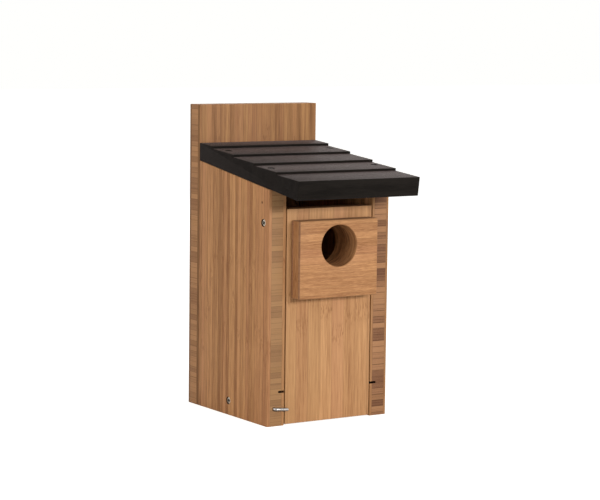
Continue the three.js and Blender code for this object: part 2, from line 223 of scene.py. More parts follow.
class Shader:
    """A material's node tree, with one short method for each kind of node it uses."""

    def __init__(self, name):
        self.material = bpy.data.materials.new(name)
        self.material.use_nodes = True
        self.nodes = self.material.node_tree.nodes
        self.links = self.material.node_tree.links
        self.surface = self.nodes["Principled BSDF"]
        self.coordinates = self.nodes.new("ShaderNodeTexCoord")

    def feed(self, socket, value):
        if isinstance(value, bpy.types.NodeSocket):
            self.links.new(value, socket)
        else:
            socket.default_value = value

    def math(self, operation, first, second=0.0, third=0.0, clamp=False):
        node = self.nodes.new("ShaderNodeMath")
        node.operation = operation
        node.use_clamp = clamp
        for socket, value in zip(node.inputs, (first, second, third)):
            self.feed(socket, value)
        return node.outputs[0]

    def total(self, *terms):
        """The sum of value and weight pairs."""
        result = 0.0
        for value, weight in terms:
            result = self.math("MULTIPLY_ADD", value, weight, result)
        return result

    def scaled(self, vector, factor):
        node = self.nodes.new("ShaderNodeVectorMath")
        node.operation = "SCALE"
        self.feed(node.inputs[0], vector)
        node.inputs["Scale"].default_value = factor
        return node.outputs[0]

    def split(self, vector):
        node = self.nodes.new("ShaderNodeSeparateXYZ")
        self.feed(node.inputs[0], vector)
        return dict(zip(AXES, node.outputs))

    def joined(self, x, y, z):
        node = self.nodes.new("ShaderNodeCombineXYZ")
        for socket, value in zip(node.inputs, (x, y, z)):
            self.feed(socket, value)
        return node.outputs[0]

    def noise(self, vector, scale=1.0, detail=2.0, roughness=0.5, distortion=0.0):
        node = self.nodes.new("ShaderNodeTexNoise")
        self.feed(node.inputs["Vector"], vector)
        node.inputs["Scale"].default_value = scale
        node.inputs["Detail"].default_value = detail
        node.inputs["Roughness"].default_value = roughness
        node.inputs["Distortion"].default_value = distortion
        return node.outputs[0]

    def random(self, number):
        node = self.nodes.new("ShaderNodeTexWhiteNoise")
        node.noise_dimensions = "1D"
        self.feed(node.inputs["W"], number)
        return node.outputs["Value"]

    def ease(self, value, low, high, low_result=0.0, high_result=1.0):
        node = self.nodes.new("ShaderNodeMapRange")
        node.interpolation_type = "SMOOTHSTEP"
        self.feed(node.inputs["Value"], value)
        settings = {"From Min": low, "From Max": high, "To Min": low_result, "To Max": high_result}
        for socket, number in settings.items():
            node.inputs[socket].default_value = number
        return node.outputs[0]

    def blend(self, factor, first, second):
        """Goes from the first number to the second as the factor goes from 0 to 1."""
        node = self.nodes.new("ShaderNodeMix")
        node.data_type = "FLOAT"
        self.feed(node.inputs[0], factor)
        self.feed(node.inputs[2], first)
        self.feed(node.inputs[3], second)
        return node.outputs[0]

    def colour(self, factor, first, second, kind="MIX"):
        node = self.nodes.new("ShaderNodeMix")
        node.data_type = "RGBA"
        node.blend_type = kind
        self.feed(node.inputs[0], factor)
        for socket, value in ((node.inputs[6], first), (node.inputs[7], second)):
            if isinstance(value, tuple):
                value = (*value, 1.0)
            self.feed(socket, value)
        return node.outputs[2]

    def bump(self, height, distance, strength=1.0):
        node = self.nodes.new("ShaderNodeBump")
        node.inputs["Strength"].default_value = strength
        node.inputs["Distance"].default_value = distance
        self.feed(node.inputs["Height"], height)
        self.links.new(node.outputs[0], self.surface.inputs["Normal"])

    def finish(self, colour, roughness, **constants):
        self.feed(self.surface.inputs["Base Color"], colour)
        self.feed(self.surface.inputs["Roughness"], roughness)
        for socket, value in constants.items():
            self.surface.inputs[socket.replace("_", " ")].default_value = value
        return self.material


# ---------------------------------------------------------------- materials

PALE = (0.600, 0.300, 0.122)
TAN = (0.430, 0.198, 0.076)
DARK = (0.235, 0.088, 0.028)
ROSY = (0.500, 0.222, 0.100)
OLIVE = (0.410, 0.205, 0.076)
GLUE = (0.085, 0.032, 0.011)
PLY_EDGE_TINT = (0.78, 0.80, 0.82)
END_LIGHT = (0.385, 0.190, 0.092)
END_DARK = (0.118, 0.042, 0.019)
STAIN_DARK = (0.0036, 0.0031, 0.0025)
STAIN_LIGHT = (0.0110, 0.0092, 0.0076)
STAIN_WARM = (0.0110, 0.0080, 0.0060)
STAINED_STRIP_MM = 6.1
# A small dark mark on the left panel, as Y and Z.
MARK_MM = (-34.8, 202.2)
FACE_PLY_MM = 3.0
# Strips are numbered from here, so that no strip of a board has a number below zero.
FIRST_STRIP = 200.0
JOINT_SPACING_MM = 210.0
# How fast the bore's texture changes round the hole, against along it.
BORE_ALONG = 0.12


class Board(Shader):
    """Three-ply bamboo as a solid texture: the strips of both face plies run along one axis of
    the board, and those of the core run across it. All its places are in millimetres."""

    def __init__(self, name, node, along, through, seed, strip_mm=5.0, face_ply_mm=FACE_PLY_MM,
                 seam_strength=0.6, joint_height=100.0, joint_spread=1.0, streak_rate=1.15):
        super().__init__(name)
        across = next(axis for axis in AXES if axis not in (along, through))
        low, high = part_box(node)
        thick = AXES.index(through)
        middle = (low[thick] + high[thick]) / 2 / MM
        self.seed = seed
        self.strip_mm = strip_mm
        self.seam_strength = seam_strength
        self.joint_height = joint_height
        self.joint_spread = joint_spread
        self.streak_rate = streak_rate
        self.half_core = (high[thick] - low[thick]) / 2 / MM - face_ply_mm
        self.place = self.split(self.scaled(self.coordinates.outputs["Object"], 1 / MM))
        facing = self.split(self.coordinates.outputs["Normal"])
        signed_depth = self.math("SUBTRACT", self.place[through], middle)
        self.depth = self.math("ABSOLUTE", signed_depth)
        self.core = self.ease(self.depth, self.half_core - 0.08, self.half_core + 0.08, 1.0, 0.0)
        self.grain = self.blend(self.core, self.place[along], self.place[across])
        self.cross = self.blend(self.core, self.place[across], self.place[along])
        face_end = self.math("ABSOLUTE", facing[along])
        core_end = self.math("ABSOLUTE", facing[across])
        self.end = self.ease(self.blend(self.core, face_end, core_end), 0.5, 0.9)
        self.ply_edge = self.math("MULTIPLY", core_end, self.math("SUBTRACT", 1.0, self.core))
        rear_ply = self.math("GREATER_THAN", signed_depth, self.half_core)
        self.ply_seed = self.total((self.core, 31.37), (rear_ply, 17.91))
        self.lay_strips()

    def lay_strips(self):
        """Numbers the strips, gives each its own tones, and finds how far off its seams are."""
        wander = self.noise(self.joined(0.0, 0.0, self.math("MULTIPLY", self.grain, 0.006)), detail=1.0)
        strip = self.total((self.cross, 1 / self.strip_mm), (wander, 0.3), (self.ply_seed, 1.0))
        strip = self.math("ADD", strip, self.seed * 7.31 + FIRST_STRIP)
        index = self.math("FLOOR", strip)
        within = self.math("FRACT", strip)
        self.tone = self.random(index)
        self.hue = self.random(self.math("ADD", index, 57.3))
        line = self.random(self.math("ADD", index, 113.9))
        edge = self.math("MINIMUM", within, self.math("SUBTRACT", 1.0, within))
        seam = self.ease(edge, 0.01, 0.08, 1.0, 0.0)
        self.seam = self.math("MULTIPLY", seam, self.ease(line, 0.15, 1.0, 0.05, self.seam_strength))
        self.core_seam = self.math("MULTIPLY", seam, self.ease(line, 0.0, 0.7, 0.3, 0.9))

    def streaks(self, width_rate, length_rate, detail=2.0):
        """Noise drawn out along the grain, with its own run in each strip."""
        vector = self.joined(
            self.math("MULTIPLY", self.cross, width_rate),
            self.math("MULTIPLY", self.depth, width_rate),
            self.total((self.grain, length_rate), (self.tone, 60.0)),
        )
        return self.noise(vector, detail=detail, roughness=0.6)

    def joints(self):
        """Dark dashes where the culm's joints fall, at a height of its own in each strip."""
        from_joint = self.math("SUBTRACT", self.grain, self.joint_height)
        shift = self.math("MULTIPLY_ADD", self.hue, self.joint_spread, 0.5 - self.joint_spread / 2)
        run = self.math("FRACT", self.math("MULTIPLY_ADD", from_joint, 1 / JOINT_SPACING_MM, shift))
        distance = self.math("ABSOLUTE", self.math("SUBTRACT", run, 0.5))
        ring = self.ease(distance, 0.004, 0.07, 1.0, 0.0)
        dashes = self.ease(self.streaks(1.0, 0.15, 1.0), 0.48, 0.62)
        return self.math("MULTIPLY", ring, dashes)

    def face_colour(self, contrast, strip_contrast, fibre_length, fleck_strength):
        shorten = 1 / fibre_length
        broad = self.ease(self.streaks(0.24, 0.008), 0.30, 0.70)
        medium = self.streaks(self.streak_rate, 0.024 * shorten)
        self.fine = self.streaks(2.2, 0.07 * shorten, 2.0)
        fleck = self.ease(self.streaks(1.7, 0.050 * shorten, 1.0), 0.56, 0.66)
        level = self.total(
            (self.tone, strip_contrast),
            (broad, 0.36 - strip_contrast / 2),
            (self.ease(medium, 0.36, 0.64), 0.30),
            (self.ease(self.fine, 0.38, 0.62), 0.34 - strip_contrast / 2),
        )
        level = self.math("MULTIPLY_ADD", level, contrast, 0.5 - 0.5 * contrast)
        colour = self.colour(self.ease(level, -0.10, 0.50), DARK, TAN)
        colour = self.colour(self.ease(level, 0.35, 0.95), colour, PALE)
        colour = self.colour(self.ease(self.hue, 0.50, 1.0, 0.0, 0.45), colour, ROSY)
        colour = self.colour(self.ease(self.hue, 0.0, 0.35, 0.30, 0.0), colour, OLIVE)
        colour = self.colour(self.math("MULTIPLY", self.joints(), 0.55), colour, DARK)
        colour = self.colour(self.math("MULTIPLY", fleck, fleck_strength), colour, DARK)
        return self.colour(self.seam, colour, GLUE)

    def end_colour(self, contrast):
        """The sawn ends of the strips: a stack of blocks, each with a few dark lines in it."""
        line_place = self.joined(self.math("MULTIPLY", self.cross, 0.80), 0.0, self.seed * 3.7)
        lines = self.noise(line_place, detail=3.0, roughness=0.75)
        pores = self.noise(self.scaled(self.coordinates.outputs["Object"], 1100.0), detail=1.0)
        level = self.total((self.tone, 0.62), (self.ease(lines, 0.40, 0.48), 0.28), (pores, 0.20))
        dark = tuple(light + (deep - light) * contrast for light, deep in zip(END_LIGHT, END_DARK))
        colour = self.colour(self.ease(level, 0.15, 0.95), dark, END_LIGHT)
        colour = self.colour(self.ease(self.hue, 0.0, 0.4, 0.15, 0.0), colour, OLIVE)
        return self.colour(self.math("MULTIPLY", self.core_seam, contrast), colour, GLUE)

    def speck(self, colour, axes, centre, radius=1.2):
        """A small round dark mark in the wood."""
        offsets = [self.math("SUBTRACT", self.place[axis], at) for axis, at in zip(axes, centre)]
        gap = self.nodes.new("ShaderNodeVectorMath")
        gap.operation = "LENGTH"
        self.feed(gap.inputs[0], self.joined(*offsets, 0.0))
        mask = self.ease(gap.outputs["Value"], 0.6 * radius, 1.3 * radius, 0.95, 0.0)
        return self.colour(mask, colour, GLUE)


def bamboo(name, node, along, through, seed, tint=(1, 1, 1), contrast=1.0, strip_contrast=0.34,
           fibre_length=1.0, fleck_strength=0.35, end_contrast=0.8, end_tint=(1, 1, 1), speck=None,
           **layout):
    """A board's material. What is left over says how its strips and joints are laid out."""
    board = Board(name, node, along, through, seed, **layout)
    colour = board.face_colour(contrast, strip_contrast, fibre_length, fleck_strength)
    shaded_ply = board.colour(1.0, colour, PLY_EDGE_TINT, "MULTIPLY")
    colour = board.colour(board.ply_edge, colour, shaded_ply)
    end_colour = board.colour(1.0, board.end_colour(end_contrast), end_tint, "MULTIPLY")
    colour = board.colour(board.end, colour, end_colour)
    past_core = board.math("ABSOLUTE", board.math("SUBTRACT", board.depth, board.half_core))
    colour = board.colour(board.ease(past_core, 0.03, 0.22, 0.45, 0.0), colour, GLUE)
    if speck:
        colour = board.speck(colour, *speck)
    colour = board.colour(1.0, colour, tint, "MULTIPLY")
    board.bump(board.total((board.fine, 0.6), (board.seam, -0.5)), 0.12 * MM, 0.6)
    roughness = board.ease(board.fine, 0.2, 0.8, 0.52, 0.68)
    return board.finish(colour, roughness, Specular_IOR_Level=0.25)


def painted_kerf_shade():
    """The walls of a thin saw cut, painted near black: painted shade for the dark depth of the cut, under a
    blotchy noise and bump.
    """
    shade = Shader("kerf_painted_shade")
    place = shade.scaled(shade.coordinates.outputs["Object"], 1 / (0.8 * MM))
    marks = shade.noise(place, detail=3.0, roughness=0.6)
    colour = shade.colour(shade.ease(marks, 0.35, 0.65), (0.012, 0.004, 0.002), (0.060, 0.022, 0.010))
    shade.bump(marks, 0.1 * MM)
    return shade.finish(colour, 0.8, Specular_IOR_Level=0.1)


def bored_wall():
    """The turned wall of the entrance: the drill crosses every ply, so its bands go round."""
    shade = Shader("bored_bamboo")
    place = shade.split(shade.scaled(shade.coordinates.outputs["Object"], 1 / MM))
    round_x = shade.math("MULTIPLY", place["X"], BORE_ALONG)
    round_z = shade.math("MULTIPLY", place["Z"], BORE_ALONG)
    plies = shade.joined(round_x, place["Y"], round_z)
    bands = shade.noise(plies, 0.35)
    rings = shade.noise(plies, 1.3)
    tone = shade.total((shade.ease(bands, 0.35, 0.65), 0.65), (shade.ease(rings, 0.35, 0.65), 0.35))
    colour = shade.colour(tone, (0.180, 0.076, 0.028), (0.480, 0.232, 0.096))
    shade.bump(rings, 0.12 * MM, 0.6)
    return shade.finish(colour, 0.6, Specular_IOR_Level=0.25)


def stained_roof():
    """Charcoal-brown stain on bamboo: the grain and the strips just show through it."""
    shade = Shader("stained_bamboo")
    place = shade.split(shade.scaled(shade.coordinates.outputs["Object"], 1 / MM))
    strip = shade.math("ADD", shade.math("DIVIDE", place["Y"], STAINED_STRIP_MM), FIRST_STRIP)
    strip_tone = shade.random(shade.math("FLOOR", strip))
    slide = shade.math("MULTIPLY", strip_tone, 40.0)

    def streaks(width_rate, length_rate, detail):
        vector = shade.joined(
            shade.math("ADD", shade.math("MULTIPLY", place["X"], length_rate), slide),
            shade.math("MULTIPLY", place["Y"], width_rate),
            shade.math("MULTIPLY", place["Z"], width_rate),
        )
        return shade.noise(vector, detail=detail, roughness=0.6)

    broad = streaks(0.15, 0.02, 2.0)
    fine = streaks(2.2, 0.07, 3.0)
    level = shade.math("ADD", shade.math("MULTIPLY", broad, 0.5), shade.math("MULTIPLY", fine, 0.5))
    colour = shade.colour(shade.ease(level, 0.35, 0.65), STAIN_DARK, STAIN_LIGHT)
    colour = shade.colour(shade.math("MULTIPLY", strip_tone, 0.3), colour, STAIN_WARM)
    shade.bump(fine, 0.25 * MM, 1.0)
    roughness = shade.ease(fine, 0.2, 0.8, 0.50, 0.64)
    surface = {"Specular_IOR_Level": 0.04, "Sheen_Weight": 0.10, "Sheen_Roughness": 0.45}
    return shade.finish(colour, roughness, Sheen_Tint=(1.0, 0.74, 0.70, 1.0), **surface)


def metal(name, bright, dull, roughness, metallic=1.0, patch_mm=1.2):
    """Plated or phosphated steel, with soft patches of duller plating."""
    shade = Shader(name)
    place = shade.scaled(shade.coordinates.outputs["Object"], 1 / (patch_mm * MM))
    patches = shade.noise(place, detail=4.0, roughness=0.65)
    colour = shade.colour(shade.ease(patches, 0.35, 0.65), dull, bright)
    shade.bump(patches, 0.03 * MM, 0.5)
    rough = shade.ease(patches, 0.3, 0.7, roughness + 0.12, roughness)
    return shade.finish(colour, rough, Metallic=metallic)


# ---------------------------------------------------------------- mesh helpers


def use_second_material(bm, level, reach):
    """Gives the second of a board's materials to the faces that lie all within reach of a level."""
    for face in bm.faces:
        if all(abs(vertex.co.z - level) < reach for vertex in face.verts):
            face.material_index = 1


def use_bore_material(bm, middle, radius):
    """Gives the second of a board's materials to the faces that lie on a bore along Y."""
    for face in bm.faces:
        reaches = [math.hypot(vertex.co.x - middle.x, vertex.co.z - middle.z) for vertex in face.verts]
        on_bore = all(abs(reach - radius) < 1.2 * HOLE_EASE for reach in reaches)
        if on_bore and abs(face.normal.y) < 0.9:
            face.material_index = 1


def paint_countersink_shade(bm, nodes, index):
    """Gives one of a board's materials, the near-black kerf material, to the walls that the screws' countersinks
    cut: painted shade round the heads.
    """
    reach = SCREW_HEAD_RADIUS + SCREW_CLEARANCE + COUNTERSINK_FLARE + 0.05 * MM
    for node in nodes:
        seat, facing, _ = screw_seat(node)
        for face in bm.faces:
            if all((vertex.co - seat).cross(facing).length < reach for vertex in face.verts):
                face.material_index = index


def make_object(name, bm, materials, node, smooth_angle=33):
    """Turns a bmesh into the piece that stands for a frame node."""
    bmesh.ops.recalc_face_normals(bm, faces=bm.faces)
    for face in bm.faces:
        face.smooth = 2 * face.calc_area() / face.calc_perimeter() < FLAT_FACE_WIDTH
    mesh = bpy.data.meshes.new(name)
    bm.to_mesh(mesh)
    bm.free()
    for material in materials:
        mesh.materials.append(material)
    piece = bpy.data.objects.new(name, mesh)
    bpy.context.scene.collection.objects.link(piece)
    mesh.set_sharp_from_angle(angle=math.radians(smooth_angle))
    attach(piece, body_of(node))
    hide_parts(node)
    return piece


def body_of(node):
    bodies = frame["record"]["behaviour"]["bodies"]
    return next(body for body, members in bodies.items() if node in members)


def prism(outline, axis, low, high):
    """A bmesh of an outline swept along an axis. The outline gives the other two axes in order."""
    others = [i for i in range(3) if i != axis]
    bm = bmesh.new()
    rings = []
    for level in (low, high):
        ring = []
        for first, second in outline:
            point = [0.0, 0.0, 0.0]
            point[others[0]] = first
            point[others[1]] = second
            point[axis] = level
            ring.append(bm.verts.new(point))
        rings.append(ring)
    bm.faces.new(rings[0])
    bm.faces.new(rings[1])
    count = len(outline)
    for i in range(count):
        j = (i + 1) % count
        bm.faces.new((rings[0][i], rings[0][j], rings[1][j], rings[1][i]))
    bmesh.ops.recalc_face_normals(bm, faces=bm.faces)
    return bm


def box_prism(low, high):
    corners = [(low[0], low[1]), (high[0], low[1]), (high[0], high[1]), (low[0], high[1])]
    return prism(corners, 2, low[2], high[2])


def ease_edges(bm, radius=EASED_EDGE):
    """Rounds every outward edge, as sanding leaves it."""
    bm.normal_update()
    edges = [edge for edge in bm.edges if edge.is_convex]
    bmesh.ops.bevel(
        bm, geom=edges, offset=radius, segments=EASE_SEGMENTS, profile=0.5, affect="EDGES",
        clamp_overlap=True,
    )
    return bm


def lathe(profile, sides):
    """A closed solid turned about Z. The profile is (radius, height) pairs, axis to axis."""
    bm = bmesh.new()
    rings = []
    for radius, height in profile:
        if radius == 0:
            rings.append([bm.verts.new((0, 0, height))])
            continue
        ring = []
        for i in range(sides):
            angle = 2 * math.pi * i / sides
            ring.append(bm.verts.new((radius * math.cos(angle), radius * math.sin(angle), height)))
        rings.append(ring)
    for lower, upper in zip(rings, rings[1:]):
        for i in range(sides):
            j = (i + 1) % sides
            if len(lower) == 1:
                bm.faces.new((lower[0], upper[j], upper[i]))
            elif len(upper) == 1:
                bm.faces.new((lower[i], lower[j], upper[0]))
            else:
                bm.faces.new((lower[i], lower[j], upper[j], upper[i]))
    bmesh.ops.recalc_face_normals(bm, faces=bm.faces)
    return bm


def boolean(bm, tool, operation):
    """The first bmesh cut by or joined to the second."""
    objects = []
    for label, source in (("work", bm), ("tool", tool)):
        mesh = bpy.data.meshes.new(label)
        source.to_mesh(mesh)
        source.free()
        item = bpy.data.objects.new(label, mesh)
        bpy.context.scene.collection.objects.link(item)
        objects.append(item)
    work, cutter = objects
    modifier = work.modifiers.new("boolean", "BOOLEAN")
    modifier.operation = operation
    modifier.solver = "EXACT"
    modifier.object = cutter
    bpy.context.view_layer.update()
    evaluated = work.evaluated_get(bpy.context.evaluated_depsgraph_get())
    result = bmesh.new()
    result.from_mesh(evaluated.data)
    for item in objects:
        mesh = item.data
        bpy.data.objects.remove(item)
        bpy.data.meshes.remove(mesh)
    return result


def merged(parts):
    """One bmesh that holds several, as separate closed shells."""
    whole = bmesh.new()
    for part in parts:
        mesh = bpy.data.meshes.new("part")
        part.to_mesh(mesh)
        part.free()
        whole.from_mesh(mesh)
        bpy.data.meshes.remove(mesh)
    return whole


# ---------------------------------------------------------------- screws

SCREWS = {
    "roof_screw_rear_left": "up",
    "roof_screw_rear_right": "up",
    "roof_screw_front_left": "up",
    "roof_screw_front_right": "up",
    "back_screw_lower_left": "rear",
    "back_screw_lower_right": "rear",
    "back_screw_upper_left": "rear",
    "back_screw_upper_right": "rear",
    "floor_screw_back": "rear",
    "floor_screw_left": "left",
    "floor_screw_right": "right",
    "pivot_screw_left": "left",
    "pivot_screw_right": "right",
    "guard_screw_left": "rear",
    "guard_screw_right": "rear",
}
FACINGS = {
    "up": Vector((0, -math.sin(ROOF_SLOPE), math.cos(ROOF_SLOPE))),
    "rear": Vector((0, 1, 0)),
    "left": Vector((-1, 0, 0)),
    "right": Vector((1, 0, 0)),
}
# How far each screw was driven: the turn of its cross recess, in degrees.
DRIVEN_TURN = {"pivot_screw_left": 33, "floor_screw_left": 4, "pivot_screw_right": 20}


def screw_seat(node):
    """The middle of a screw's head, the way the head faces, and the screw's length."""
    facing = FACINGS[SCREWS[node]]
    points = [vertex.co for vertex in frame["nodes"][node].data.vertices]
    heights = [point.dot(facing) for point in points]
    top = max(heights)
    rim = [point for point, height in zip(points, heights) if height > top - 0.01 * MM]
    middle = [(min(p[i] for p in rim) + max(p[i] for p in rim)) / 2 for i in range(3)]
    return Vector(middle), facing, top - min(heights)


def screw_place(node, sunk=0.0):
    """The matrix that takes a screw made along Z, its head's top at 0, to its place."""
    seat, facing, _ = screw_seat(node)
    turn = Matrix.Rotation(math.radians(DRIVEN_TURN.get(node, 12)), 4, "Z")
    aim = facing.to_track_quat("Z", "Y").to_matrix().to_4x4()
    return Matrix.Translation(seat - facing * sunk) @ aim @ turn


def threaded_body(length):
    """Head, plain neck, rolled thread and point, turned about Z with the head's top at 0."""
    sides = SCREW_SIDES
    neck_end = -SCREW_HEAD_DEPTH - SCREW_SMOOTH_SHANK * (length - SCREW_HEAD_DEPTH)
    step = SCREW_THREAD_PITCH / 6
    heights = []
    level = neck_end
    while level > -length + step:
        heights.append(level)
        level -= step
    bm = bmesh.new()

    def ring(radius_at, height):
        circle = []
        for i in range(sides):
            angle = 2 * math.pi * i / sides
            radius = radius_at(angle, height)
            circle.append(bm.verts.new((radius * math.cos(angle), radius * math.sin(angle), height)))
        return circle

    def plain(radius):
        return lambda angle, height: radius

    def thread(angle, height):
        phase = (height / SCREW_THREAD_PITCH + angle / (2 * math.pi)) % 1
        ridge = max(0.0, 1 - abs(phase - 0.5) / 0.3)
        crest = SCREW_ROOT_RADIUS + (SCREW_CREST_RADIUS - SCREW_ROOT_RADIUS) * ridge
        return crest * min(1.0, (height + length) / SCREW_TIP + 0.04)

    head = SCREW_HEAD_RADIUS
    rings = [
        ring(plain(head - 0.35 * MM), 0.0),
        ring(plain(head - 0.1 * MM), -0.08 * MM),
        ring(plain(head), -0.3 * MM),
        ring(plain(head), -0.55 * MM),
        ring(plain(SCREW_ROOT_RADIUS + 0.35 * MM), -SCREW_HEAD_DEPTH),
        ring(plain(SCREW_ROOT_RADIUS + 0.2 * MM), -SCREW_HEAD_DEPTH - 0.3 * MM),
        ring(plain(SCREW_ROOT_RADIUS + 0.2 * MM), neck_end + step),
    ]
    rings += [ring(thread, height) for height in heights]
    for upper, lower in zip(rings, rings[1:]):
        for i in range(sides):
            j = (i + 1) % sides
            bm.faces.new((upper[i], lower[i], lower[j], upper[j]))
    bm.faces.new(rings[0])
    tip = bm.verts.new((0, 0, -length))
    for i in range(sides):
        bm.faces.new((rings[-1][i], tip, rings[-1][(i + 1) % sides]))
    bmesh.ops.recalc_face_normals(bm, faces=bm.faces)
    return bm


def cross_recess():
    """A tapered cross, wider at the top than at its bottom."""
    arms = []
    for reach_x, reach_y in ((RECESS_REACH, RECESS_WIDTH / 2), (RECESS_WIDTH / 2, RECESS_REACH)):
        arm = box_prism((-reach_x, -reach_y, -RECESS_DEPTH), (reach_x, reach_y, MM))
        for vertex in arm.verts:
            if vertex.co.z < 0:
                vertex.co.x *= 0.45 if reach_x > reach_y else 0.8
                vertex.co.y *= 0.45 if reach_y > reach_x else 0.8
        arms.append(arm)
    return boolean(arms[0], arms[1], "UNION")


def paint_recess_shade(bm):
    """Gives the walls of the recess the second of a screw's materials, a near-black steel that paints the shade
    inside the recess.
    """
    for face in bm.faces:
        middle = face.calc_center_median()
        if middle.xy.length < 1.1 * RECESS_REACH and -1.1 * RECESS_DEPTH < middle.z < -0.02 * MM:
            face.material_index = 1


def add_screws(bright, black, shadow):
    for node in SCREWS:
        _, _, length = screw_seat(node)
        bm = boolean(threaded_body(length - SCREW_SUNK), cross_recess(), "DIFFERENCE")
        paint_recess_shade(bm)
        bmesh.ops.transform(bm, matrix=screw_place(node, SCREW_SUNK), verts=bm.verts)
        dark = node.startswith("roof")
        make_object(f"{node}_piece", bm, [black if dark else bright, shadow], node)


def screw_cutter(node):
    """The countersunk clearance hole of a screw."""
    _, _, length = screw_seat(node)
    gap = SCREW_CLEARANCE
    profile = [
        (0, -length - gap),
        (SCREW_CREST_RADIUS + gap, -length + SCREW_TIP),
        (SCREW_CREST_RADIUS + gap, -SCREW_HEAD_DEPTH - gap),
        (SCREW_HEAD_RADIUS + gap, -SCREW_HEAD_RIM - gap),
        (SCREW_HEAD_RADIUS + gap, 0),
        (SCREW_HEAD_RADIUS + gap + COUNTERSINK_FLARE, CAD_HEAD_DEPTH),
        (SCREW_HEAD_RADIUS + gap + COUNTERSINK_FLARE, 3 * MM),
        (0, 3 * MM),
    ]
    bm = lathe(profile, SCREW_SIDES)
    bmesh.ops.transform(bm, matrix=screw_place(node), verts=bm.verts)
    return bm


# ---------------------------------------------------------------- boards


def entrance_middle():
    """The middle of the entrance at the guard's front face, found from the guard's own hole."""
    points = [vertex.co for vertex in frame["nodes"]["predator_guard"].data.vertices]
    low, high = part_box("predator_guard")
    inner = [
        p for p in points
        if low.x + 5 * MM < p.x < high.x - 5 * MM and low.z + 3 * MM < p.z < high.z - 3 * MM
    ]
    middle_x = (min(p.x for p in inner) + max(p.x for p in inner)) / 2
    middle_z = (min(p.z for p in inner) + max(p.z for p in inner)) / 2
    return Vector((middle_x, low.y, middle_z))


def entrance_cutter():
    """The bored entrance, with its front rim eased."""
    middle = entrance_middle()
    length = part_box("front_door")[1].y - middle.y
    rim = []
    for i in range(5):
        angle = math.pi / 2 * i / 4
        flare = HOLE_EASE * (1 - math.sin(angle))
        rim.append((HOLE_RADIUS + flare, HOLE_EASE * (1 - math.cos(angle))))
    profile = [(0, -6 * MM), (HOLE_RADIUS + HOLE_EASE, -6 * MM)] + rim
    profile += [(HOLE_RADIUS, length + 6 * MM), (0, length + 6 * MM)]
    bm = lathe(profile, HOLE_SIDES)
    place = Matrix.Translation(middle) @ Matrix.Rotation(-math.pi / 2, 4, "X")
    bmesh.ops.transform(bm, matrix=place, verts=bm.verts)
    return bm


def cut(bm, cutters):
    return boolean(bm, merged(cutters), "DIFFERENCE")


def add_back_panel(material, countersink_shade_material):
    low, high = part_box("back_panel")
    screws = [node for node in SCREWS if node.startswith("back") or node == "floor_screw_back"]
    bm = cut(ease_edges(box_prism(low, high)), [screw_cutter(node) for node in screws])
    paint_countersink_shade(bm, screws, 1)
    make_object("back_board", bm, [material, countersink_shade_material], "back_panel")


def add_side(side, material, kerf_shade_material):
    node = f"{side}_side"
    low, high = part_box(node)
    front_top = high.z - (high.y - low.y) * math.tan(ROOF_SLOPE)
    outline = [(low.y, low.z), (high.y, low.z), (high.y, high.z), (low.y, front_top)]
    bm = ease_edges(prism(outline, 0, low.x, high.x))
    mesh_low, mesh_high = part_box("mesh_floor")
    level = (mesh_low.z + mesh_high.z) / 2
    inner = high.x if side == "left" else low.x
    outward = -1 if side == "left" else 1
    kerf_x = sorted((inner + outward * KERF_DEPTH, inner - outward * CUT_PAST))
    kerf = box_prism(
        (kerf_x[0], low.y - CUT_PAST, level - KERF_HEIGHT / 2),
        (kerf_x[1], high.y + CUT_PAST, level + KERF_HEIGHT / 2),
    )
    screws = [name for name in SCREWS if name.endswith(side) and not name.startswith("guard")]
    cutters = [kerf] + [screw_cutter(name) for name in screws]
    if side == "left":
        cutters.append(hook_bore())
    bm = cut(bm, cutters)
    # The kerf's walls get the near-black second material, as painted shade deep in the cut.
    use_second_material(bm, level, 0.51 * KERF_HEIGHT)
    paint_countersink_shade(bm, [f"pivot_screw_{side}", f"floor_screw_{side}"], 1)
    make_object(f"{side}_board", bm, [material, kerf_shade_material], node)


def add_floor_board(material):
    low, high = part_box("floor_board")
    corner = FLOOR_CORNER_CUT
    outline = [
        (low.x + corner, low.y), (high.x - corner, low.y),
        (high.x, low.y + corner), (high.x, high.y - corner),
        (high.x - corner, high.y), (low.x + corner, high.y),
        (low.x, high.y - corner), (low.x, low.y + corner),
    ]
    bm = ease_edges(prism(outline, 2, low.z, high.z))
    bm = cut(bm, [screw_cutter(node) for node in SCREWS if node.startswith("floor")])
    make_object("bottom_board", bm, [material], "floor_board")


def add_door(material, bore_material, countersink_shade_material):
    low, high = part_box("front_door")
    bm = ease_edges(box_prism(low, high))
    cutters = [entrance_cutter()]
    cutters += [screw_cutter(node) for node in SCREWS if node.startswith(("pivot", "guard"))]
    for index in range(GROOVE_COUNT):
        top = GROOVE_TOP - index * GROOVE_PITCH
        cutters.append(box_prism(
            (low.x - CUT_PAST, high.y - GROOVE_DEPTH, top - GROOVE_HEIGHT),
            (high.x + CUT_PAST, high.y + CUT_PAST, top),
        ))
    bm = cut(bm, cutters)
    use_bore_material(bm, entrance_middle(), HOLE_RADIUS)
    paint_countersink_shade(bm, ["guard_screw_left", "guard_screw_right"], 2)
    make_object("door_board", bm, [material, bore_material, countersink_shade_material], "front_door")


def add_guard(material, bore_material):
    low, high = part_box("predator_guard")
    bm = ease_edges(box_prism(low, high), 0.9 * MM)
    cutters = [entrance_cutter()] + [screw_cutter(node) for node in SCREWS if node.startswith("guard")]
    bm = cut(bm, cutters)
    use_bore_material(bm, entrance_middle(), HOLE_RADIUS)
    make_object("guard_block", bm, [material, bore_material], "predator_guard")


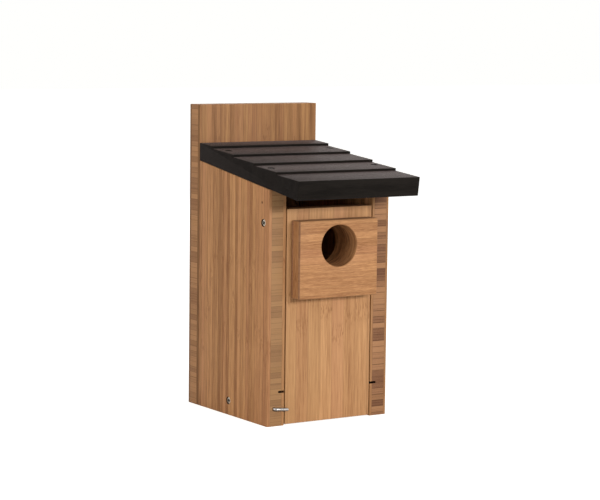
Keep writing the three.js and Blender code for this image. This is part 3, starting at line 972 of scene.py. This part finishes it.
def add_roof(material):
    """The sawtooth section runs the whole width, and its rear edge stands plumb."""
    low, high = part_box("roof_panel")
    rise = STRIP_DROP / STRIP_LENGTH
    front_ridge = Vector((low.y, high.z))
    slope = Vector((math.cos(ROOF_SLOPE), math.sin(ROOF_SLOPE)))
    upright = Vector((-math.sin(ROOF_SLOPE), math.cos(ROOF_SLOPE)))
    points = [v.co for v in frame["nodes"]["roof_panel"].data.vertices]
    front_ridge.y = max(p.z for p in points if p.y < low.y + 0.05 * MM)

    def at(from_front, below_ridge):
        return front_ridge + slope * from_front - upright * below_ridge

    def meet_rear(start, direction):
        return start + direction * ((high.y - start.x) / direction.x)

    under_front = at(0, ROOF_THICKNESS)
    outline = [meet_rear(under_front, slope), under_front, at(0, 0)]
    for index in range(1, STRIP_COUNT + 1):
        outline.append(at(index * STRIP_LENGTH, STRIP_DROP))
        outline.append(at(index * STRIP_LENGTH, 0))
    outline.append(meet_rear(outline[-1], slope - upright * rise))
    bm = ease_edges(prism([tuple(p) for p in outline], 0, low.x, high.x), 0.6 * MM)
    bm = cut(bm, [screw_cutter(node) for node in SCREWS if node.startswith("roof")])
    make_object("roof_board", bm, [material], "roof_panel")


# ---------------------------------------------------------------- wire


def sweep(points, radii, sides):
    """A closed tube through points, with a radius at each."""
    bm = bmesh.new()
    rings = []
    side = None
    for i, point in enumerate(points):
        ahead = points[min(i + 1, len(points) - 1)]
        behind = points[max(i - 1, 0)]
        forward = (ahead - behind).normalized()
        if side is None:
            side = forward.orthogonal().normalized()
        side = (side - forward * side.dot(forward)).normalized()
        other = forward.cross(side)
        ring = []
        for j in range(sides):
            angle = 2 * math.pi * j / sides
            ring.append(bm.verts.new(point + (side * math.cos(angle) + other * math.sin(angle)) * radii[i]))
        rings.append(ring)
    for lower, upper in zip(rings, rings[1:]):
        for i in range(sides):
            j = (i + 1) % sides
            bm.faces.new((lower[i], lower[j], upper[j], upper[i]))
    bm.faces.new(rings[0])
    bm.faces.new(rings[-1])
    bmesh.ops.recalc_face_normals(bm, faces=bm.faces)
    return bm


def hook_axis():
    joint = next(j for j in frame["joints"] if j["name"] == "latch_turn")
    return Vector(joint["pos_m"])


def hook_bore():
    radius = HOOK_WIRE / 2 + SCREW_CLEARANCE
    end = HOOK_SHANK + 0.3 * MM
    profile = [(0, -CUT_PAST), (radius, -CUT_PAST), (radius, end), (0, end)]
    bm = lathe(profile, SCREW_SIDES)
    place = Matrix.Translation(hook_axis()) @ Matrix.Rotation(-math.pi / 2, 4, "X")
    bmesh.ops.transform(bm, matrix=place, verts=bm.verts)
    return bm


def add_hook(material):
    """Wire bent square: the shank goes into the side panel's edge, the arm lies across the door."""
    radius = HOOK_WIRE / 2
    arm_y = -HOOK_STANDOFF - radius
    points = [Vector((0, HOOK_SHANK, 0)), Vector((0, HOOK_SHANK - 2.5 * MM, 0)), Vector((0, 3 * MM, 0))]
    radii = [0.25 * radius, radius * 0.9, radius]
    for i in range(9):
        angle = math.pi / 2 * i / 8
        x = HOOK_BEND * (1 - math.cos(angle))
        y = arm_y + HOOK_BEND * (1 - math.sin(angle))
        points.append(Vector((x, y, 0)))
        radii.append(radius)
    for share, size in ((0.9, 1), (0.975, 0.95), (0.99, 0.82), (1.0, 0.6)):
        points.append(Vector((HOOK_ARM * share, arm_y, 0)))
        radii.append(radius * size)
    bm = sweep(points, radii, HOOK_SIDES)
    place = Matrix.Translation(hook_axis()) @ Matrix.Rotation(HOOK_DROOP, 4, "Y")
    bmesh.ops.transform(bm, matrix=place, verts=bm.verts)
    make_object("turning_hook", bm, [material], "latch_hook")


def add_mesh_floor(material):
    """Welded square mesh: the lengthwise wires lie on the crosswise ones."""
    low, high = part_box("mesh_floor")
    middle = (low + high) / 2
    radius = MESH_WIRE / 2
    wires = []
    for index in range(MESH_CELLS + 1):
        offset = (index - MESH_CELLS / 2) * MESH_PITCH
        across_y = middle.y + offset
        lower = low.z + radius
        upper = high.z - radius
        crosswise = (Vector((low.x, across_y, lower)), Vector((high.x, across_y, lower)))
        lengthwise = (Vector((offset, low.y, upper)), Vector((offset, high.y, upper)))
        for start, end in (crosswise, lengthwise):
            shares = (0, 0.004, 0.25, 0.5, 0.75, 0.996, 1)
            points = [start.lerp(end, share) for share in shares]
            sizes = [0.7 * radius] + [radius] * 5 + [0.7 * radius]
            wires.append(sweep(points, sizes, MESH_WIRE_SIDES))
    make_object("wire_floor", merged(wires), [material], "mesh_floor")


# ---------------------------------------------------------------- the object


add_camera()
add_world()
add_floor()
add_softbox("front_softbox", 10, 16, 2.4, 1.5, 0.40, 42, (1.0, 0.985, 0.96))
add_softbox("side_softbox", -75, 14, 2.2, 1.2, 1.2, 15, (1.0, 0.99, 0.97))
add_softbox("rear_softbox", 150, 30, 2.1, 1.6, 1.4, 9, (1.0, 0.97, 0.96))

zinc = metal("zinc_plate", (0.92, 0.82, 0.68), (0.58, 0.49, 0.39), 0.32)
# Near-black steel for the walls of the screws' cross recesses: painted shade inside the recess.
recess_painted_shade = metal("recess_painted_shade", (0.030, 0.026, 0.023), (0.012, 0.010, 0.009), 0.60)
phosphate = metal("black_phosphate", (0.030, 0.028, 0.026), (0.012, 0.011, 0.010), 0.42, metallic=0.6)
galvanised = metal("galvanised_wire", (0.62, 0.63, 0.63), (0.40, 0.41, 0.42), 0.34, patch_mm=2.5)
hook_zinc = metal("bright_hook_wire", (0.50, 0.48, 0.47), (0.24, 0.23, 0.22), 0.28, patch_mm=1.0)

# kerf is painted shade: near black for the walls of the kerfs and of the countersinks.
kerf = painted_kerf_shade()
bore = bored_wall()
# The back board's dark tint of 0.66 paints shade: it darkens the whole board so that its top, which the front
# softbox lights straight on, comes out darker.
add_back_panel(bamboo(
    "bamboo_back", "back_panel", "Z", "Y", 1, tint=(0.66, 0.66, 0.62), contrast=1.15, strip_contrast=0.42,
    end_contrast=0.6, end_tint=(1.75, 1.77, 1.70),
), kerf)
add_side("left", bamboo(
    "bamboo_left", "left_side", "Z", "X", 2, tint=(1.0, 1.0, 1.0), contrast=1.85, strip_contrast=0.38,
    end_contrast=0.45, end_tint=(0.83, 0.90, 0.79), joint_height=110, joint_spread=0.5,
    streak_rate=1.9, speck=("YZ", MARK_MM),
), kerf)
add_side("right", bamboo(
    "bamboo_right", "right_side", "Z", "X", 3, tint=(0.86, 0.85, 0.84), contrast=1.2, strip_contrast=0.44,
    end_contrast=1.0, end_tint=(1.07, 1.08, 1.03), face_ply_mm=2.4, strip_mm=5.6,
), kerf)
add_floor_board(bamboo("bamboo_floor", "floor_board", "Y", "Z", 4))
add_door(bamboo(
    "bamboo_door", "front_door", "Z", "Y", 5, tint=(0.97, 1.06, 1.17), contrast=0.95, strip_mm=13.0,
    strip_contrast=0.34, fibre_length=1.0, fleck_strength=0.08, seam_strength=0.25, joint_height=95,
    joint_spread=0.2,
), bore, kerf)
add_guard(bamboo(
    "bamboo_guard", "predator_guard", "X", "Y", 6, tint=(0.88, 0.89, 0.93), contrast=1.0, strip_mm=7.0,
    strip_contrast=0.24, fibre_length=0.35, fleck_strength=0.2, seam_strength=0.3, end_contrast=0.3,
), bore)
add_roof(stained_roof())
add_screws(zinc, phosphate, recess_painted_shade)
add_hook(hook_zinc)
add_mesh_floor(galvanised)

bpy.context.scene.view_settings.view_transform = "Standard"
